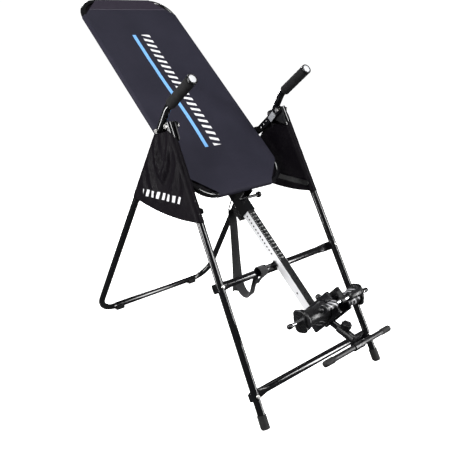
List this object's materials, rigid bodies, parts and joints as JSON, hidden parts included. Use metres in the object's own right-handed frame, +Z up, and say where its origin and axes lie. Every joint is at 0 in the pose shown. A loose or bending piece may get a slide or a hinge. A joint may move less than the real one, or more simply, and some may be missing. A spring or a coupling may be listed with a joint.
{
  "type": "inversion table",
  "caption": "Folding A-frame inversion table: fabric bed on a pivoting tube frame, sliding height boom, ankle cushions on a clamp, footrest, foam hand holds and a tether strap.",
  "frame": {"origin": "on the floor, below the middle of the whole machine at rest", "axes": "+X to the right seen from the ankle end, +Y from the ankle end to the head end, +Z up"},
  "size_m": [0.7466, 1.5309, 1.5084],
  "materials": {
    "black_paint": "gloss powder coat",
    "brace_paint": "satin paint",
    "zinc_steel": "zinc plated",
    "chromed_steel": "bright plated",
    "silver_boom": "silver powder coat",
    "scale_print": "printed film",
    "black_plastic": "moulded, lightly textured",
    "foot_rubber": "moulded rubber",
    "grip_foam": "closed-cell foam",
    "grey_plastic": "moulded, slight gloss",
    "cushion_foam": "skinned moulded foam",
    "footrest_paint": "satin paint",
    "bed_nylon": "coated nylon weave",
    "cover_nylon": "nylon weave",
    "strap_webbing": "ribbed webbing"
  },
  "bodies": {
    "front_frame": {"front_leg_left": "black_paint", "front_leg_right": "black_paint", "front_foot_left": "foot_rubber", "front_foot_right": "foot_rubber", "upper_crossbar": "black_paint", "lower_crossbar": "black_paint", "crossbar_bolts": "zinc_steel", "pivot_plate_left": "brace_paint", "pivot_plate_right": "brace_paint", "pivot_bolts": "zinc_steel", "boom_saddle": "black_paint", "side_cover_left": "cover_nylon", "side_cover_right": "cover_nylon", "tether_strap": "strap_webbing"},
    "rear_frame": {"rear_rail": "black_paint", "rear_leg_left": "black_paint", "rear_leg_right": "black_paint", "rail_pad_left": "foot_rubber", "rail_pad_right": "foot_rubber", "grip_left": "grip_foam", "grip_right": "grip_foam", "grip_cap_left": "grey_plastic", "grip_cap_right": "grey_plastic", "fold_bolts": "zinc_steel"},
    "front_brace_left": {"front_brace_left": "brace_paint"},
    "front_brace_right": {"front_brace_right": "brace_paint"},
    "rear_brace_left": {"rear_brace_left": "brace_paint"},
    "rear_brace_right": {"rear_brace_right": "brace_paint"},
    "table": {"bed_loop_head": "black_paint", "bed_loop_foot": "black_paint", "bed_cross_tube": "black_paint", "bed_panel": "bed_nylon", "pivot_arm_left": "black_paint", "pivot_arm_right": "black_paint", "boom_sleeve": "black_paint", "pin_boss": "zinc_steel", "sleeve_bracket_head": "black_paint", "sleeve_bracket_foot": "black_paint", "guide_housing": "black_plastic", "strap_ring": "zinc_steel"},
    "height_pin": {"height_pin": "black_plastic"},
    "boom": {"boom_tube": "silver_boom", "scale_strip": "scale_print", "ankle_carriage": "black_plastic", "rear_rod": "chromed_steel", "inner_plate_left": "black_plastic", "inner_plate_right": "black_plastic", "outer_plate_left": "black_plastic", "outer_plate_right": "black_plastic", "footrest_shaft": "black_paint"},
    "rear_roller_left": {"rear_roller_left": "cushion_foam"},
    "rear_roller_right": {"rear_roller_right": "cushion_foam"},
    "front_clamp": {"clamp_post": "brace_paint", "front_rod": "chromed_steel"},
    "front_roller_left": {"front_roller_left": "cushion_foam"},
    "front_roller_right": {"front_roller_right": "cushion_foam"},
    "clamp_knob": {"clamp_knob": "black_plastic"},
    "footrest": {"footrest_carrier": "black_plastic", "footrest_bar": "footrest_paint"},
    "footrest_knob": {"footrest_knob": "black_plastic"}
  },
  "joints": [
    {"name": "table_tilt", "type": "hinge", "parent": "front_frame", "child": "table", "pos_m": [0, -0.0307, 1.0409], "axis": [-1, 0, 0], "range_deg": [0, 130], "deforming": ["tether_strap"]},
    {"name": "rear_fold", "type": "hinge", "parent": "front_frame", "child": "rear_frame", "pos_m": [0, 0.02914, 1.015], "axis": [-1, 0, 0], "range_deg": [0, 55], "deforming": ["side_cover_left", "side_cover_right"]},
    {"name": "front_brace_left_turn", "type": "hinge", "parent": "front_frame", "child": "front_brace_left", "pos_m": [-0.32677, -0.20268, 0.735], "axis": [1, 0, 0], "range_deg": [0, 74]},
    {"name": "rear_brace_left_turn", "type": "hinge", "parent": "rear_frame", "child": "rear_brace_left", "pos_m": [-0.33193, 0.18082, 0.735], "axis": [-1, 0, 0], "range_deg": [0, 25]},
    {"name": "front_brace_right_turn", "type": "hinge", "parent": "front_frame", "child": "front_brace_right", "pos_m": [0.32677, -0.20268, 0.735], "axis": [1, 0, 0], "range_deg": [0, 74]},
    {"name": "rear_brace_right_turn", "type": "hinge", "parent": "rear_frame", "child": "rear_brace_right", "pos_m": [0.33193, 0.18082, 0.735], "axis": [-1, 0, 0], "range_deg": [0, 25]},
    {"name": "boom_slide", "type": "slide", "parent": "table", "child": "boom", "axis": [0, 0.7627, 0.6468], "range_m": [-0.035, 0.175]},
    {"name": "height_pin_pull", "type": "slide", "parent": "table", "child": "height_pin", "axis": [1, 0, 0], "range_m": [0, 0.008], "stiffness_N_per_m": 600, "springref_m": -0.004},
    {"name": "ankle_clamp_slide", "type": "slide", "parent": "boom", "child": "front_clamp", "axis": [0, -0.6468, 0.7627], "range_m": [0, 0.085]},
    {"name": "clamp_knob_pull", "type": "slide", "parent": "boom", "child": "clamp_knob", "axis": [0, 0.7627, 0.6468], "range_m": [0, 0.008], "stiffness_N_per_m": 600, "springref_m": -0.004},
    {"name": "footrest_slide", "type": "slide", "parent": "boom", "child": "footrest", "axis": [0, -0.9646, -0.2636], "range_m": [-0.025, 0.03]},
    {"name": "footrest_knob_turn", "type": "hinge", "parent": "footrest", "child": "footrest_knob", "pos_m": [0, -0.68168, 0.30101], "axis": [0, -0.2636, 0.9646], "continuous": true},
    {"name": "rear_roller_left_spin", "type": "hinge", "parent": "boom", "child": "rear_roller_left", "pos_m": [0, -0.60771, 0.37709], "axis": [1, 0, 0], "continuous": true},
    {"name": "front_roller_left_spin", "type": "hinge", "parent": "front_clamp", "child": "front_roller_left", "pos_m": [0, -0.66103, 0.42759], "axis": [1, 0, 0], "continuous": true},
    {"name": "rear_roller_right_spin", "type": "hinge", "parent": "boom", "child": "rear_roller_right", "pos_m": [0, -0.60771, 0.37709], "axis": [1, 0, 0], "continuous": true},
    {"name": "front_roller_right_spin", "type": "hinge", "parent": "front_clamp", "child": "front_roller_right", "pos_m": [0, -0.66103, 0.42759], "axis": [1, 0, 0], "continuous": true}
  ],
  "couplings": [
    {"joint": "front_brace_left_turn", "follows": "rear_fold", "ratio": 1.337},
    {"joint": "rear_brace_left_turn", "follows": "rear_fold", "ratio": 0.445},
    {"joint": "front_brace_right_turn", "follows": "rear_fold", "ratio": 1.337},
    {"joint": "rear_brace_right_turn", "follows": "rear_fold", "ratio": 0.445}
  ]
}
